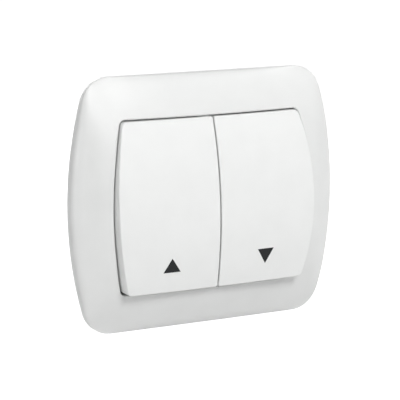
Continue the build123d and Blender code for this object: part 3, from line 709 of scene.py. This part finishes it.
dress(make_frame_shell(), frame_plastic, "root", "frame_plastic", "cover_frame")
dress(make_snap_legs(), frame_plastic, "root", "frame_plastic", "cover_frame")
for side, hand in ((-1, "left"), (1, "right")):
    body = f"{hand}_press"
    cap = make_button_cap(side, f"{hand}_cap")
    dress(cap, button_plastic, body, "button_plastic", f"{hand}_button")
    fittings = make_cap_fittings(side, f"{hand}_cap_fittings")
    dress(fittings, button_plastic, body, "button_plastic", f"{hand}_button")
    # In the real switch the arm rocks back against the coil, which gives way as far as the arm moves
    # there; here the coil stays as built, on a mesh of its own.
    coil = make_return_spring(side, f"{hand}_spring_coil")
    dress(coil, spring_metal, "root", "spring_steel", f"{hand}_return_spring")
    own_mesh(coil)
dress(make_print("up_mark", UP), print_ink, "left_press", None)
dress(make_print("down_mark", DOWN), print_ink, "right_press", None)


def make_camera():
    """The photograph's view: from the left and a little above, from about 0.6 metres."""
    turn, rise = radians(CAMERA_TURN), radians(CAMERA_RISE)
    back = Vector((sin(turn) * cos(rise), -cos(turn) * cos(rise), sin(rise)))
    right = Vector((cos(turn), sin(turn), 0.0))
    turned = Matrix((right, back.cross(right), back)).transposed().to_4x4()
    data = bpy.data.cameras.new("camera")
    data.sensor_width = SENSOR_WIDTH
    data.lens = SENSOR_WIDTH * FOCAL_PIXELS / PICTURE_PIXELS
    data.clip_start, data.clip_end = 0.01, 50.0
    camera = bpy.data.objects.new("camera", data)
    place = Vector(CAMERA_TARGET) + back * CAMERA_DISTANCE
    camera.matrix_world = Matrix.Translation(place) @ turned
    bpy.context.scene.collection.objects.link(camera)
    bpy.context.scene.camera = camera


def area_light(name, place, size, power):
    """Square soft white lamp at a place in metres, turned to the switch."""
    data = bpy.data.lights.new(name, "AREA")
    data.shape, data.size, data.energy = "SQUARE", size, power
    lamp = bpy.data.objects.new(name, data)
    lamp.location = place
    aim = Vector((0.0, 0.0, 0.0)) - Vector(place)
    lamp.rotation_euler = aim.to_track_quat("-Z", "Y").to_euler()
    bpy.context.scene.collection.objects.link(lamp)


def white_for_camera(tree, light_path):
    """One for rays that see the backdrop: from the camera, off a gloss or through glass."""
    seen = add(tree, "ShaderNodeMath", {"operation": "MAXIMUM"})
    tree.links.new(light_path.outputs["Is Camera Ray"], seen.inputs[0])
    tree.links.new(light_path.outputs["Is Glossy Ray"], seen.inputs[1])
    both = add(tree, "ShaderNodeMath", {"operation": "MAXIMUM"})
    tree.links.new(seen.outputs[0], both.inputs[0])
    tree.links.new(light_path.outputs["Is Transmission Ray"], both.inputs[1])
    return both.outputs[0]


def make_world():
    """Soft light from in front that fades to none behind, and white where it is seen."""
    world = bpy.data.worlds.new("studio")
    world.use_nodes = True
    tree = world.node_tree
    tree.nodes.clear()
    path = add(tree, "ShaderNodeLightPath")
    light = add(tree, "ShaderNodeBackground", {"Color": to_linear("FFFFFF")})
    towards = add(tree, "ShaderNodeTexCoord").outputs["Generated"]
    way = add(tree, "ShaderNodeSeparateXYZ", Vector=towards)
    limits = {"From Min": -WORLD_BLEND, "From Max": WORLD_BLEND}
    strengths = {"To Min": WORLD_FRONT, "To Max": WORLD_BACK}
    fade = add(tree, "ShaderNodeMapRange", limits | strengths, Value=way.outputs["Y"])
    tree.links.new(fade.outputs["Result"], light.inputs["Strength"])
    white = add(tree, "ShaderNodeBackground", {"Color": to_linear("FFFFFF"), "Strength": 1.0})
    mix = add(tree, "ShaderNodeMixShader", Fac=white_for_camera(tree, path))
    tree.links.new(light.outputs[0], mix.inputs[1])
    tree.links.new(white.outputs[0], mix.inputs[2])
    output = add(tree, "ShaderNodeOutputWorld")
    tree.links.new(mix.outputs[0], output.inputs[0])
    bpy.context.scene.world = world


def make_floor():
    """Pale paper well below the switch, which glows white where it is seen."""
    mesh = bpy.data.meshes.new("floor")
    signs = ((-1, -1), (1, -1), (1, 1), (-1, 1))
    corners = [(x * FLOOR_REACH, y * FLOOR_REACH, FLOOR_LEVEL) for x, y in signs]
    mesh.from_pydata(corners, [], [(0, 1, 2, 3)])
    floor = bpy.data.objects.new("floor", mesh)
    bpy.context.scene.collection.objects.link(floor)
    material, tree, shader, _ = start_material("floor_pale_paper", "D7D7D7", 0.9)
    shader.inputs["Specular IOR Level"].default_value = 0.0
    path = add(tree, "ShaderNodeLightPath")
    glow = add(tree, "ShaderNodeEmission", {"Color": to_linear("FFFFFF")})
    strength = add(tree, "ShaderNodeMath", {"operation": "MULTIPLY", 1: FLOOR_GLOW})
    tree.links.new(white_for_camera(tree, path), strength.inputs[0])
    tree.links.new(strength.outputs[0], glow.inputs["Strength"])
    both = add(tree, "ShaderNodeAddShader")
    tree.links.new(shader.outputs[0], both.inputs[0])
    tree.links.new(glow.outputs[0], both.inputs[1])
    output = next(n for n in tree.nodes if n.type == "OUTPUT_MATERIAL")
    tree.links.new(both.outputs[0], output.inputs["Surface"])
    mesh.materials.append(material)


make_world()
make_floor()
for lamp in LAMPS:
    area_light(*lamp)
make_camera()
bpy.context.scene.view_settings.view_transform = "Standard"
